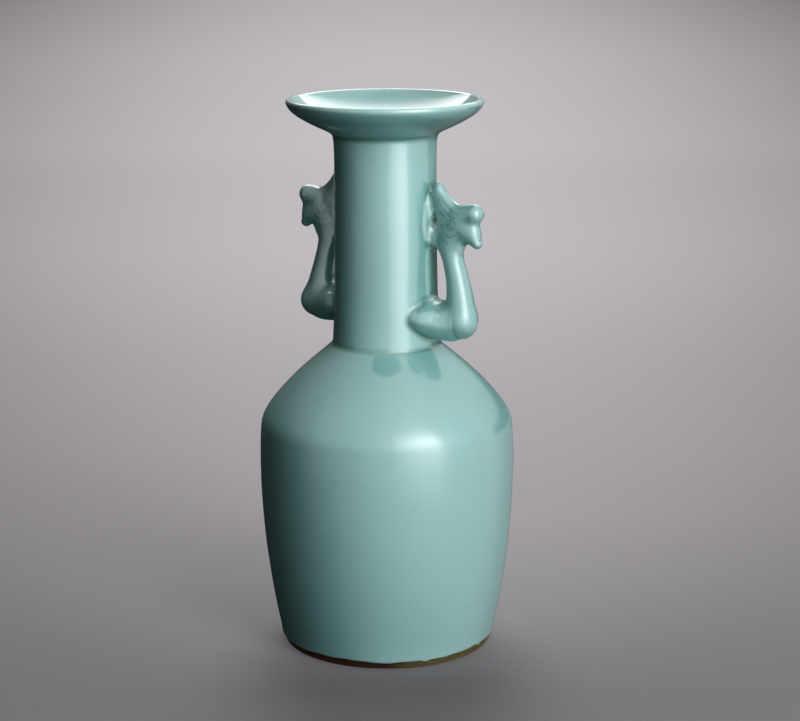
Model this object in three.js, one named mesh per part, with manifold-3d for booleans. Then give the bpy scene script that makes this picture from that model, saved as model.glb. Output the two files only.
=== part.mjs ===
// Celadon vase with a mallet-shaped body, a dish mouth and two phoenix handles.
// Millimetres, +Z up, origin at the centre of the foot's resting face.
// The thrown sections stack and meet on flat joints. The handles are luted to the neck.

import * as THREE from 'three';
import { mergeVertices } from 'three/addons/utils/BufferGeometryUtils.js';
import Module from 'manifold-3d';

const wasm = await Module();
wasm.setup();

// Heights of the stacked sections
const footHeight = 4;
const floorThickness = 8;
const sideHeight = 107;
const shoulderHeight = 51;
const neckHeight = 101;
const dishHeight = 19;

// Outer radii
const footRadius = 56;
const bellyRadius = 67.6;
const bellyHeight = 100;
const bellyCloseIn = 0.9;
const turnRadius = 60.4;
const flankRadius = 33.9;
const neckRootRadius = 27.6;
const neckRadius = 26.8;
const neckTopRadius = 27.2;
const lipRadius = 51.2;

// Shoulder and neck curves: rises from the foot of their own section, slopes as radius by height
// (a slope of 0 runs straight up)
const turnRise = 12;
const flankRise = 38;
const coneSlopeLow = -0.78;
const coneSlopeHigh = -1.25;
const neckRootSlope = -0.06;
const neckWaistRise = 42;
const neckWaistSlope = -0.007;
const neckTaper = 0.3;
const neckFlareLength = 17;
const neckTopSlope = 0.2;

// Walls, floor and foot
const bodyWall = 5.5;
const neckWall = 5.2;
const glazeStep = 0.4;
const footRingWidth = 9;
const footEdgeRound = 1;
const recessDome = 2;
const floorDish = 1.5;

// Dish mouth
const dishFilletRise = 4.5;
const dishFilletReach = 5.8;
const dishLowSlope = 1.9;
const dishHighSlope = 1.2;
const dishWall = 4.2;
const lipBandHeight = 3.7;
const lipBandInset = 1.4;
const lipRound = 1.3;
const lipInnerFall = 0.8;

// Handles: heights are above the lug's centre line, stand-offs are from the neck's skin
const lugHeight = 10;
const handleBackTurn = 3.5;
const luteGap = 0.3;
const elbowRise = 15;
const rightForm = {
  headLift: 0, headShift: 0, napeDrop: 0, crestDrop: 0, stemShift: 0, elbowReach: 0, lugLift: 0,
};
const leftForm = {
  headLift: 2.6, headShift: -0.8, napeDrop: 0.5, crestDrop: 4.2,
  stemShift: -1.4, elbowReach: 1.9, lugLift: 2.9,
};

// The bird's head: outline points and the eyelet as [stand-off, rise]
const headThickness = 5.6;
const headEdgeRound = 2;
const eyeletCentre = [4.4, 49.3];
const eyeletWidth = 4.2;
const eyeletHeight = 9.4;
const cheekCentre = [17.4, 47];
const cheekSize = { reach: 9.4, height: 9, thickness: 4.8 };
const headOutline = [
  [13, 31], [18, 34], [19.5, 37.6], [25, 42], [27.3, 47.8], [24.5, 54], [17.3, 57.2],
  [12.8, 58.9], [8.5, 60.8], [4.8, 60.6], [2.4, 58.2], [-4, 57], [-4, 37.4], [1.5, 35.6],
  [5, 34], [8, 31.5],
];

// Swept limbs: stations as [stand-off, rise, half height, half thickness]
const crest = [[8.6, 56.5, 4.4, 3.4], [6.6, 62.0, 2.9, 2.9], [5.1, 66.6, 1.4, 2.2]];
const knob = [[18.5, 52.2, 4.8, 4.4], [24.4, 53.6, 5.3, 5.3]];
const beak = [[17, 46.6, 6.6, 4.6], [23.4, 43, 5.4, 4.6], [26.9, 38.5, 2.8, 3.2]];
const stem = [
  [13.2, 41, 6.6, 4.6], [12.2, 34, 6.1, 5.2], [13.4, 28, 5.5, 5.6], [15.6, 19, 5.9, 6.1],
  [17.1, 9.2, 7, 7], [17.8, 0.5, 8, 8],
];
const lug = [
  [18, -3.8, 7.6, 8.2], [13.6, -4.8, 9.3, 10.4], [7.6, -4.0, 9.1, 13.4], [1, 0.0, 7.8, 16.3],
  [-2, 1.0, 7.4, 16.9],
];
const luteStrip = [[0.4, 39.5, 2.2, 4.6], [0.6, 46, 2.2, 6.6], [0.4, 57.5, 2.2, 5]];
const roundSection = 2;
const lugSection = 2.3;

// Facets
const turnSteps = 54;
const limbSides = 14;
const eyeletSides = 12;
const shoulderSteps = [4, 3, 4];
const shoulderInnerSteps = [3, 2, 3];

const glazeColour = 0x7fb0a8;
const clayColour = 0x6b3d22;

const floorBase = footHeight;
const sideBase = floorBase + floorThickness;
const shoulderBase = sideBase + sideHeight;
const neckBase = shoulderBase + shoulderHeight;
const dishBase = neckBase + neckHeight;
const lipTop = dishBase + dishHeight;

const point = (r, z) => new THREE.Vector2(r, z);

// A quadratic curve sampled into steps, without its first point
function bend(from, control, to, steps) {
  return new THREE.QuadraticBezierCurve(from, control, to).getPoints(steps).slice(1);
}

// Where the tangents at two ends of a curve cross. A slope is the change of radius with height.
function crossing(from, fromSlope, to, toSlope) {
  const z = (to.x - from.x + fromSlope * from.y - toSlope * to.y) / (fromSlope - toSlope);
  return point(from.x + fromSlope * (z - from.y), z);
}

// The inner face of a wall whose outer face runs upwards: each point moves square to the curve.
function innerFace(outer, wallBelow, wallAbove) {
  const last = outer.length - 1;
  return outer.map((p, i) => {
    const wall = wallBelow + (wallAbove - wallBelow) * i / last;
    const along = outer[Math.min(i + 1, last)].clone().sub(outer[Math.max(i - 1, 0)]).normalize();
    return point(p.x - along.y * wall, p.y + along.x * wall);
  });
}

// The same, with both ends cut level so that the section meets its neighbours flat.
function levelInnerFace(outer, wallBelow, wallAbove) {
  const inner = innerFace(outer, wallBelow, wallAbove);
  const last = outer.length - 1;
  inner[0] = point(outer[0].x - wallBelow, outer[0].y);
  inner[last] = point(outer[last].x - wallAbove, outer[last].y);
  return inner;
}

// A shallow dome from the axis out to its edge
function dome(radius, edgeHeight, rise) {
  const middle = radius * 0.6;
  return [0, middle, radius].map((r) => point(r, edgeHeight + rise * (1 - (r / radius) ** 2)));
}

// A closed outline turned round the vase's axis
function turned(outline) {
  const closed = [...outline, outline[0]];
  const lathe = new THREE.LatheGeometry(closed, turnSteps);
  lathe.rotateX(Math.PI / 2);
  return lathe;
}

// A profile that starts and ends on the axis
function turnedSolid(outline) {
  const lathe = new THREE.LatheGeometry(outline, turnSteps);
  lathe.rotateX(Math.PI / 2);
  return lathe;
}

// The body side swells from the foot to the belly and closes in a little above it.
function bodyRadius(z) {
  if (z < bellyHeight) {
    return bellyRadius - (bellyRadius - footRadius) * (1 - z / bellyHeight) ** 2;
  }
  return bellyRadius - bellyCloseIn * ((z - bellyHeight) / (shoulderBase - bellyHeight)) ** 2;
}

function bodyCurve(from, to, steps) {
  return Array.from({ length: steps + 1 }, (_, i) => {
    const z = from + (to - from) * i / steps;
    return point(bodyRadius(z), z);
  });
}

function footRing() {
  const outer = footRadius - glazeStep;
  const inner = outer - footRingWidth;
  const outerFoot = point(outer - footEdgeRound, 0);
  const innerFoot = point(inner + footEdgeRound, 0);
  return turned([
    outerFoot,
    ...bend(outerFoot, point(outer, 0), point(outer, footEdgeRound), 2),
    point(bodyRadius(footHeight) - glazeStep, footHeight),
    point(inner - footEdgeRound, footHeight),
    ...bend(point(inner, footEdgeRound * 2), point(inner, 0), innerFoot, 2),
  ]);
}

function baseFloor() {
  const recess = footRadius - glazeStep - footRingWidth - footEdgeRound;
  const rim = bodyRadius(sideBase) - bodyWall;
  return turnedSolid([
    ...dome(recess, floorBase, recessDome),
    ...bodyCurve(floorBase, sideBase, 2),
    ...dome(rim, sideBase, -floorDish).reverse(),
  ]);
}

function bodySide() {
  const outer = bodyCurve(sideBase, shoulderBase, 7);
  const inner = levelInnerFace(bodyCurve(sideBase, shoulderBase, 6), bodyWall, bodyWall);
  return turned([...outer, ...inner.reverse()]);
}

// The shoulder turns over the belly, falls in as a slightly swelling cone and runs into the neck.
function shoulderCurve([turnPoints, conePoints, rootPoints]) {
  const startSlope = -2 * bellyCloseIn / (shoulderBase - bellyHeight);
  const start = point(bodyRadius(shoulderBase), shoulderBase);
  const turn = point(turnRadius, shoulderBase + turnRise);
  const flank = point(flankRadius, shoulderBase + flankRise);
  const root = point(neckRootRadius, neckBase);
  return [
    start,
    ...bend(start, crossing(start, startSlope, turn, coneSlopeLow), turn, turnPoints),
    ...bend(turn, crossing(turn, coneSlopeLow, flank, coneSlopeHigh), flank, conePoints),
    ...bend(flank, crossing(flank, coneSlopeHigh, root, neckRootSlope), root, rootPoints),
  ];
}

function shoulder() {
  const outer = shoulderCurve(shoulderSteps);
  const inner = levelInnerFace(shoulderCurve(shoulderInnerSteps), bodyWall, neckWall);
  return turned([...outer, ...inner.reverse()]);
}

// The neck draws in above its root, runs nearly straight and flares again under the dish.
function neckCurve() {
  const root = point(neckRootRadius, neckBase);
  const waist = point(neckRadius, neckBase + neckWaistRise);
  const flare = point(neckRadius - neckTaper, dishBase - neckFlareLength);
  const top = point(neckTopRadius, dishBase);
  return [
    root,
    ...bend(root, crossing(root, neckRootSlope, waist, neckWaistSlope), waist, 3),
    flare,
    ...bend(flare, crossing(flare, 0, top, neckTopSlope), top, 3),
  ];
}

function neck() {
  const outer = neckCurve();
  const bore = outer.filter((p, i) => i === 0 || i >= 3).map((p) => point(p.x - neckWall, p.y));
  return turned([...outer, ...bore.reverse()]);
}

// The dish spreads from the neck in a shallow cone, ends in an upright band and a round lip,
// and its bowl runs down into the neck's bore.
function mouthDish() {
  const seat = point(neckTopRadius, dishBase);
  const low = point(neckTopRadius + dishFilletReach, dishBase + dishFilletRise);
  const high = point(lipRadius - lipBandInset, lipTop - lipBandHeight);
  const edge = point(lipRadius, lipTop - lipRound);
  const crestRing = point(lipRadius - lipRound, lipTop);
  const inside = point(lipRadius - 2 * lipRound, lipTop - lipInnerFall);
  const bore = point(neckTopRadius - neckWall, dishBase);
  const cone = [low, ...bend(low, crossing(low, dishLowSlope, high, dishHighSlope), high, 3)];
  const bowl = innerFace(cone, dishWall, 2 * lipRound).reverse();
  const bowlEdge = bowl[bowl.length - 1];
  return turned([
    seat,
    ...bend(seat, crossing(seat, neckTopSlope, low, dishLowSlope), low, 3),
    ...cone.slice(1),
    edge,
    ...bend(edge, point(edge.x, crestRing.y), crestRing, 2),
    inside,
    ...bowl,
    ...bend(bowlEdge, crossing(bore, 0, bowlEdge, dishLowSlope), bore, 4),
  ]);
}

// A limb is swept through oval stations in the handle's upright plane and closed by round ends.
// The section's power is 2 for an oval and more for one with fuller corners.
function limb(stations, steps, power = roundSection) {
  const centre = new THREE.CatmullRomCurve3(
    stations.map(([off, rise]) => new THREE.Vector3(off, 0, rise)), false, 'centripetal');
  const girth = new THREE.CatmullRomCurve3(
    stations.map(([, , half, thick]) => new THREE.Vector3(half, thick, 0)), false, 'centripetal');
  const capAngles = [22, 52].map(THREE.MathUtils.degToRad);
  const capRing = (t, side, angle) => {
    const [, , half, thick] = stations[t * (stations.length - 1)];
    const way = centre.getTangent(t);
    const at = centre.getPoint(t).addScaledVector(way, side * Math.cos(angle) * half);
    return { at, way, half: half * Math.sin(angle), thick: thick * Math.sin(angle) };
  };
  const rings = capAngles.map((angle) => capRing(0, -1, angle));
  for (let i = 0; i <= steps; i += 1) {
    const size = girth.getPoint(i / steps);
    rings.push({
      at: centre.getPoint(i / steps),
      way: centre.getTangent(i / steps),
      half: size.x,
      thick: size.y,
    });
  }
  rings.push(...capAngles.map((angle) => capRing(1, 1, angle)).reverse());
  return loft(rings, [capRing(0, -1, 0).at, capRing(1, 1, 0).at], power);
}

// Rings joined into one closed skin, with a point at each end
function loft(rings, tips, power) {
  const positions = [];
  const fuller = (value) => Math.sign(value) * Math.abs(value) ** (2 / power);
  for (const { at, way, half, thick } of rings) {
    for (let k = 0; k < limbSides; k += 1) {
      const a = 2 * Math.PI * k / limbSides;
      const across = half * fuller(Math.cos(a));
      const aside = thick * fuller(Math.sin(a));
      positions.push(at.x + way.z * across, aside, at.z - way.x * across);
    }
  }
  for (const tip of tips) positions.push(tip.x, tip.y, tip.z);
  const start = rings.length * limbSides;
  const faces = [];
  for (let k = 0; k < limbSides; k += 1) {
    const next = (k + 1) % limbSides;
    faces.push(start, next, k);
    for (let ring = 0; ring < rings.length - 1; ring += 1) {
      const here = ring * limbSides;
      const there = here + limbSides;
      faces.push(here + k, here + next, there + k);
      faces.push(here + next, there + next, there + k);
    }
    const end = (rings.length - 1) * limbSides;
    faces.push(start + 1, end + k, end + next);
  }
  const geometry = new THREE.BufferGeometry();
  geometry.setAttribute('position', new THREE.Float32BufferAttribute(positions, 3));
  geometry.setIndex(faces);
  return geometry;
}

function solid(geometry) {
  const bare = geometry.clone();
  bare.deleteAttribute('normal');
  bare.deleteAttribute('uv');
  const merged = mergeVertices(bare, 1e-4);
  return new wasm.Manifold(new wasm.Mesh({
    numProp: 3,
    vertProperties: new Float32Array(merged.attributes.position.array),
    triVerts: new Uint32Array(merged.index.array),
  }));
}

function joined(geometries) {
  return geometries.map(solid).reduce((a, b) => a.add(b));
}

function geometryOf(body) {
  const mesh = body.getMesh();
  const geometry = new THREE.BufferGeometry();
  geometry.setAttribute('position', new THREE.Float32BufferAttribute(mesh.vertProperties, 3));
  geometry.setIndex(Array.from(mesh.triVerts));
  geometry.computeVertexNormals();
  return geometry;
}

// The head is a plate cut to the bird's outline, with rounded edges and the eyelet near the neck.
function headPlate() {
  const corners = headOutline.map(([off, rise]) => point(off, rise));
  const outline = new THREE.Shape();
  outline.moveTo(corners[0].x, corners[0].y);
  outline.splineThru([...corners.slice(1), corners[0]]);
  const eyelet = new THREE.EllipseCurve(...eyeletCentre, eyeletWidth / 2, eyeletHeight / 2);
  outline.holes.push(new THREE.Path(eyelet.getPoints(eyeletSides).slice(0, -1)));
  const plate = new THREE.ExtrudeGeometry(outline, {
    depth: headThickness - 2 * headEdgeRound,
    curveSegments: 2,
    bevelEnabled: true,
    bevelSegments: 2,
    bevelSize: headEdgeRound,
    bevelThickness: headEdgeRound,
    bevelOffset: -headEdgeRound,
  });
  plate.translate(0, 0, headEdgeRound - headThickness / 2);
  plate.rotateX(Math.PI / 2);
  return plate;
}

function cheek() {
  const ball = new THREE.SphereGeometry(1, 18, 9);
  ball.scale(cheekSize.reach, cheekSize.thickness, cheekSize.height);
  ball.translate(cheekCentre[0], 0, cheekCentre[1]);
  return ball;
}

// A handle in its own plane: X is the stand-off from the neck's skin, Z the rise above the lug.
function handle(form) {
  const stemStation = ([off, rise, ...girth]) => (
    [off + form.stemShift + form.elbowReach * Math.max(0, 1 - rise / elbowRise), rise, ...girth]
  );
  const lugStation = ([off, rise, ...girth]) => (
    [off + form.elbowReach * Math.max(0, off) / lug[0][0], rise + form.lugLift, ...girth]
  );
  const head = joined([cheek(), limb(knob, 2), limb(beak, 4)]);
  const parts = [
    head.translate([form.headShift, 0, form.headLift]),
    solid(headPlate()).translate([0, 0, form.headLift - form.napeDrop]),
    solid(limb(crest, 4)).translate([0, 0, form.headLift - form.crestDrop]),
    solid(limb(stem.map(stemStation), 11)),
    solid(limb(lug.map(lugStation), 8, lugSection)),
    solid(limb(luteStrip, 4)),
  ];
  const clay = parts.reduce((a, b) => a.add(b));
  return geometryOf(clay.translate([neckRadius, 0, neckBase + lugHeight]).subtract(neckSeat()));
}

// The neck and the shoulder's root, grown by the luting gap
function neckSeat() {
  const rootPoints = shoulderSteps[2];
  const root = shoulderCurve(shoulderSteps).slice(-1 - rootPoints, -1);
  const skin = [...root, ...neckCurve()].map((p) => point(p.x + luteGap, p.y));
  return solid(turnedSolid([point(0, skin[0].y), ...skin, point(0, dishBase)]));
}

const glaze = () => new THREE.MeshStandardMaterial({ color: glazeColour, roughness: 0.12 });
const clay = () => new THREE.MeshStandardMaterial({ color: clayColour, roughness: 0.8 });

function piece(name, geometry, material) {
  const mesh = new THREE.Mesh(geometry, material);
  mesh.name = name;
  return mesh;
}

const vase = new THREE.Group();
vase.add(piece('foot_ring', footRing(), clay()));
vase.add(piece('base_floor', baseFloor(), glaze()));
vase.add(piece('body_side', bodySide(), glaze()));
vase.add(piece('shoulder', shoulder(), glaze()));
vase.add(piece('neck', neck(), glaze()));
vase.add(piece('mouth_dish', mouthDish(), glaze()));

const rightHandle = piece('handle_right', handle(rightForm), glaze());
rightHandle.rotation.z = THREE.MathUtils.degToRad(handleBackTurn);
vase.add(rightHandle);

const leftHandle = piece('handle_left', handle(leftForm), glaze());
leftHandle.rotation.z = THREE.MathUtils.degToRad(180 - handleBackTurn);
vase.add(leftHandle);

export default vase;
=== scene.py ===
"""Looks of a celadon vase with a mallet-shaped body, a dish mouth and two phoenix handles.

The thrown sections are skins turned round one profile, so the glaze runs on from one to the next.
The handles are luted to the neck: their skin is drawn round oval limbs that melt into each other
and into the neck, as clay does under a thick glaze. Lengths of the vase are millimetres here.
Those of the user's sizes, the materials and the stage are metres, as Blender has them.
"""
import math

import bpy
import numpy as np
from bpy.props import FloatProperty, FloatVectorProperty, IntProperty, PointerProperty
from bpy.types import Operator, Panel, PropertyGroup
from mathutils import Matrix, Vector


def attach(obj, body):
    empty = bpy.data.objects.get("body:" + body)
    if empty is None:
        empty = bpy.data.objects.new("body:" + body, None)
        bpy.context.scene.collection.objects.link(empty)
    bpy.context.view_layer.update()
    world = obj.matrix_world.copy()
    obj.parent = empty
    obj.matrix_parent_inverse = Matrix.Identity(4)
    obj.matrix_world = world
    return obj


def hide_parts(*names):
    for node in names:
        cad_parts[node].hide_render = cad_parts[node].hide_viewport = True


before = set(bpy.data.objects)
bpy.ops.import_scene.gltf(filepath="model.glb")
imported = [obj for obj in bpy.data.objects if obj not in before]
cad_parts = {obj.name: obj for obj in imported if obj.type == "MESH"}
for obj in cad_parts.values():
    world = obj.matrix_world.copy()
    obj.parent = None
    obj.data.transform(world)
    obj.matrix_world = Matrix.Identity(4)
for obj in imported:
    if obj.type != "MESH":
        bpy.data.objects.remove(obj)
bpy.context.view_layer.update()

bl_info = {
    "name": "Celadon vase with phoenix handles",
    "version": (1, 0, 0),
    "blender": (4, 5, 0),
    "location": "View3D > Sidebar > Celadon vase",
    "description": "Builds the glazed sections, the foot ring, the handles and the studio stage",
    "category": "Object",
}

MM = 0.001

# Heights where one thrown section is luted to the next
SIDE_BASE = 12.0
SHOULDER_BASE = 119.0
NECK_BASE = 170.0
DISH_BASE = 271.0
LIP_TOP = 290.0

# Outer radii
FOOT_RADIUS = 56.0
BELLY_RADIUS = 67.38
BELLY_HEIGHT = 100.0
BELLY_CLOSE_IN = 0.9
TURN = (60.4, 131.0)
FLANK = (33.9, 157.0)
NECK_ROOT = (28.15, 162.0)
NECK_LOW = (27.7, 172.0)
NECK_WAIST = (26.8, 212.0)
NECK_FLARE = (26.5, 254.0)
NECK_TOP = (27.2, 271.0)
DISH_LOW = (33.0, 274.8)
DISH_HIGH = (48.5, 283.5)
BOWL_LOW = (33.0, 275.5)
BOWL_HIGH = (49.8, 286.3)
LIP_RADIUS = 51.2
LIP_ROUND = 1.8

# Walls, floor and foot
BODY_WALL = 5.5
NECK_WALL = 5.2
DISH_WALL = 4.2
FOOT_RING_WIDTH = 9.0
FOOT_RING_INSET = 0.4
FLOOR_FILLET = 7.0

# The clay leans away from the neck's glaze by a hair, so the two skins don't lie in one place
GLAZE_SINK = 0.004

# Where the handles sit: height, stand-off from the axis and turn in degrees, and the rise up to
# which a far elbow draws the stem outward
HANDLE_BASE = 180.0
HANDLE_STAND = 26.8
HANDLE_TURN = 3.5
ELBOW_RISE = 15.0


# Sizes and colours

def length_property(name, description, default):
    return FloatProperty(name=name, description=description, default=default,
                         unit="LENGTH", subtype="DISTANCE")


def colour_property(name, description, default):
    return FloatVectorProperty(name=name, description=description, default=default,
                               subtype="COLOR", size=3, min=0.0, max=1.0)


class CeladonSizes(PropertyGroup):
    """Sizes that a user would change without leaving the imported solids' outline."""

    turn_steps: IntProperty(
        name="Turning steps", description="Facets round the vase", default=224, min=48, max=512)
    glaze_softness: length_property(
        "Glaze softness", "How far the glaze rounds off the turned profile", 0.0011)
    throwing_depth: length_property(
        "Throwing marks", "Depth of the broadest marks of the potter's hands", 0.00003)
    glaze_edge_wander: length_property(
        "Glaze edge wander", "How far the glaze's lower edge rises and falls", 0.0006)
    handle_cell: length_property(
        "Handle detail", "Size of the cells that the handles' skin is drawn in", 0.00055)
    handle_blend: length_property(
        "Luting fillet", "Reach of the glaze fillet between handle and neck", 0.0042)
    groove_depth: length_property(
        "Feather grooves", "Depth of the combed lines under the handles' glaze", 0.00008)


class CeladonColours(PropertyGroup):
    """Colours of the glaze, the clay and the stage."""

    glaze: colour_property(
        "Celadon glaze", "Blue-green glaze where it lies evenly",
        (0.126, 0.310, 0.300))
    # This colour is also the painted shade on the neck beside each handle
    glaze_pool_and_shade: colour_property(
        "Pooled glaze and painted shade", "Glaze where it gathers thickly in a hollow",
        (0.035, 0.150, 0.125))
    glaze_thin: colour_property(
        "Thin glaze", "Glaze that has run thin over an edge",
        (0.240, 0.420, 0.400))
    iron_speck: colour_property(
        "Iron speck", "Dark specks burnt into the glaze",
        (0.050, 0.085, 0.070))
    # The clay and ochre colours are blended round the foot by a mask that is partly painted shade
    # on the side away from the light
    clay: colour_property(
        "Bare clay", "Stoneware that the fire has toasted red-brown",
        (0.020, 0.0062, 0.0022))
    clay_light: colour_property(
        "Ochre clay", "Paler ochre clay where the fire touched it less",
        (0.098, 0.078, 0.029))
    floor: colour_property(
        "Floor", "Pale studio floor",
        (0.150, 0.143, 0.150))
    backdrop: colour_property(
        "Backdrop", "Pale tint of the floor's far part and the background",
        (1.0, 0.945, 0.99))


def sizes():
    return bpy.context.scene.celadon_sizes


def colours():
    return bpy.context.scene.celadon_colours


# The turned profile

def bend(start, control, end, steps=40):
    """A quadratic curve without its first point."""
    t = np.linspace(0.0, 1.0, steps + 1)[1:, None]
    start, control, end = (np.array(p, float) for p in (start, control, end))
    return (1 - t) ** 2 * start + 2 * t * (1 - t) * control + t ** 2 * end


def crossing(start, start_slope, end, end_slope):
    """Where two end tangents cross. A slope is the change of radius with height."""
    rise = end[0] - start[0] + start_slope * start[1] - end_slope * end[1]
    z = rise / (start_slope - end_slope)
    return (start[0] + start_slope * (z - start[1]), z)


def body_radius(z):
    z = np.asarray(z, float)
    below = BELLY_RADIUS - (BELLY_RADIUS - FOOT_RADIUS) * (1 - z / BELLY_HEIGHT) ** 2
    closing = (z - BELLY_HEIGHT) / (SHOULDER_BASE - BELLY_HEIGHT)
    return np.where(z < BELLY_HEIGHT, below, BELLY_RADIUS - BELLY_CLOSE_IN * closing ** 2)


def body_line(low, high):
    z = np.linspace(low, high, 200)
    return np.stack([body_radius(z), z], 1)


def shoulder_line():
    start = (float(body_radius(SHOULDER_BASE)), SHOULDER_BASE)
    start_slope = -2 * BELLY_CLOSE_IN / (SHOULDER_BASE - BELLY_HEIGHT)
    return np.concatenate([
        bend(start, crossing(start, start_slope, TURN, -0.78), TURN),
        bend(TURN, crossing(TURN, -0.78, FLANK, -1.25), FLANK),
        np.linspace(FLANK, NECK_ROOT, 20)[1:],
    ])


def neck_line():
    return np.concatenate([
        np.linspace(NECK_ROOT, NECK_LOW, 20)[1:],
        bend(NECK_LOW, crossing(NECK_LOW, -0.045, NECK_WAIST, -0.007), NECK_WAIST),
        np.linspace(NECK_WAIST, NECK_FLARE, 60)[1:],
        bend(NECK_FLARE, crossing(NECK_FLARE, 0.0, NECK_TOP, 0.2), NECK_TOP),
    ])


def dish_cone():
    """The outside of the dish, round under the lip."""
    edge = (LIP_RADIUS, LIP_TOP - LIP_ROUND)
    return np.concatenate([
        bend(DISH_LOW, crossing(DISH_LOW, 2.3, DISH_HIGH, 1.25), DISH_HIGH),
        bend(DISH_HIGH, crossing(DISH_HIGH, 0.85, edge, 0.1), edge),
    ])


def bowl_line():
    """The inside of the dish, rising from the bore to the lip."""
    cone = bend(BOWL_LOW, crossing(BOWL_LOW, 2.6, BOWL_HIGH, 1.05), BOWL_HIGH)
    return wall_inside(cone, DISH_WALL, 2 * LIP_ROUND)


def lip_line():
    edge = (LIP_RADIUS, LIP_TOP - LIP_ROUND)
    crest = (LIP_RADIUS - LIP_ROUND, LIP_TOP)
    inside = (LIP_RADIUS - 2 * LIP_ROUND, LIP_TOP - 0.8)
    return np.concatenate([bend(edge, (edge[0], crest[1]), crest, 10),
                           bend(crest, (inside[0] + 0.4, LIP_TOP), inside, 8)])


def glaze_edge_line():
    """The glaze stops above the foot in a thick rolled edge that stands proud of the clay."""
    return np.array([
        [55.75, 4.05], [56.0, 3.72], [56.35, 3.55], [56.75, 3.62], [57.05, 3.95], [57.22, 4.5],
        [57.36, 5.3], [57.5, 6.2], [57.68, 7.4], [57.93, 9.0],
    ])


def outer_line():
    """From the glaze's lower edge up to the lip's outer edge."""
    return np.concatenate([
        glaze_edge_line(), body_line(10.0, SHOULDER_BASE), shoulder_line(), neck_line(),
        bend(NECK_TOP, crossing(NECK_TOP, 0.2, DISH_LOW, 2.3), DISH_LOW), dish_cone(), lip_line(),
    ])


def wall_inside(outer, wall_start, wall_end):
    """The inner face of a wall, each point moved square to the outer curve."""
    along = np.gradient(outer, axis=0)
    along /= np.linalg.norm(along, axis=1)[:, None]
    wall = np.linspace(wall_start, wall_end, len(outer))[:, None]
    return outer + wall * np.stack([-along[:, 1], along[:, 0]], 1)


def inner_line():
    """From the lip down the bowl, the bore and the wall to the middle of the floor."""
    bowl = bowl_line()[::-1]
    bore_top = (NECK_TOP[0] - NECK_WALL, DISH_BASE)
    neck = neck_line()[::-1] - [NECK_WALL, 0.0]
    shoulder = wall_inside(shoulder_line(), BODY_WALL, NECK_WALL)[::-1]
    shoulder = shoulder[(shoulder[:, 1] > SHOULDER_BASE + 1) & (shoulder[:, 1] < NECK_BASE - 1)]
    wall = body_line(SIDE_BASE + FLOOR_FILLET, SHOULDER_BASE)[::-1] - [BODY_WALL, 0.0]
    corner = (float(body_radius(SIDE_BASE)) - BODY_WALL, SIDE_BASE)
    floor_edge = (corner[0] - FLOOR_FILLET, SIDE_BASE - 0.1)
    radius = np.linspace(floor_edge[0], 2.0, 40)[1:]
    dish = SIDE_BASE - 0.1 - 1.3 * (1 - (radius / floor_edge[0]) ** 2)
    return np.concatenate([
        bowl, bend(bowl[-1], crossing(bore_top, 0.0, bowl[-1], 1.9), bore_top), neck[1:],
        shoulder, wall, bend(wall[-1], corner, floor_edge), np.stack([radius, dish], 1),
    ])


def lengths_along(line):
    return np.concatenate([[0.0], np.cumsum(np.linalg.norm(np.diff(line, axis=0), axis=1))])


# How far the glaze rounds the lip and its own lower edge
EDGE_SOFTNESS = 0.35


def softened(line, reach, step=0.2):
    """The line at even steps, with its corners rounded as a thick glaze rounds them.

    The lip and the glaze's lower edge keep tighter curves than the rest.
    """
    along = lengths_along(line)
    even = np.arange(0.0, along[-1], step)
    dense = np.stack([np.interp(even, along, line[:, k]) for k in (0, 1)], 1)

    def blurred(sigma):
        half = int(4 * sigma / step)
        weight = np.exp(-0.5 * (np.arange(-half, half + 1) * step / sigma) ** 2)
        weight /= weight.sum()
        out = dense.copy()
        for k in (0, 1):
            head = 2 * dense[0, k] - dense[1:half + 1, k][::-1]
            tail = 2 * dense[-1, k] - dense[-half - 1:-1, k][::-1]
            padded = np.concatenate([head, dense[:, k], tail])
            out[:, k] = np.convolve(padded, weight, "valid")
        return out

    soft, tight = blurred(reach), blurred(EDGE_SOFTNESS)
    lip = smooth_between(dense[:, 1], LIP_TOP - 6.0, LIP_TOP - 3.4) * (dense[:, 0] > 44)
    foot = (1 - smooth_between(dense[:, 1], 6.5, 12.0)) * (dense[:, 0] > 55)
    keep = np.maximum(lip, foot)[:, None]
    return soft * (1 - keep) + tight * keep


def smooth_between(value, low, high):
    t = np.clip((np.asarray(value, float) - low) / (high - low), 0.0, 1.0)
    return t * t * (3 - 2 * t)


def spaced(line, seams, tolerance=0.006, longest=2.2):
    """Rows close together where the line curves, with a row exactly at each seam's height."""
    along = lengths_along(line)
    turn = np.convolve(np.abs(bending(line)), np.ones(9) / 9, "same")
    spacing = np.clip(np.sqrt(8 * tolerance / np.maximum(turn, 1e-4)), 0.22, longest)
    density = np.concatenate([[0.0], np.cumsum(np.diff(along) / spacing[1:])])
    rows = np.interp(np.linspace(0, density[-1], int(density[-1]) + 2), density, along)
    for seam in seams:
        over = line[:, 1] - seam
        for i in np.nonzero(over[:-1] * over[1:] < 0)[0]:
            at = along[i] + (along[i + 1] - along[i]) * over[i] / (over[i] - over[i + 1])
            rows[np.argmin(np.abs(rows - at))] = at
    return np.stack([np.interp(rows, along, line[:, k]) for k in (0, 1)], 1)


def hand_marks(count=16):
    """Waves of the throwing: [turns round, climb by height, phase, share of the depth]."""
    chance = np.random.default_rng(11)
    marks = []
    for i in range(count):
        wavelength = 14.0 + 62.0 * (i / (count - 1)) ** 1.5
        turns = int(chance.integers(0, 6))
        marks.append([turns, 2 * math.pi / wavelength * chance.choice([-1, 1]),
                      chance.uniform(0, 2 * math.pi), wavelength / 76.0])
    return marks


HAND_MARKS = hand_marks()


def unevenness(angle, height):
    """How far the potter's hands left the skin off the true round."""
    total = 0.0
    for turns, climb, phase, share in HAND_MARKS:
        total = total + share * np.sin(turns * angle + climb * height + phase)
    return total * sizes().throwing_depth / MM


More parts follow.
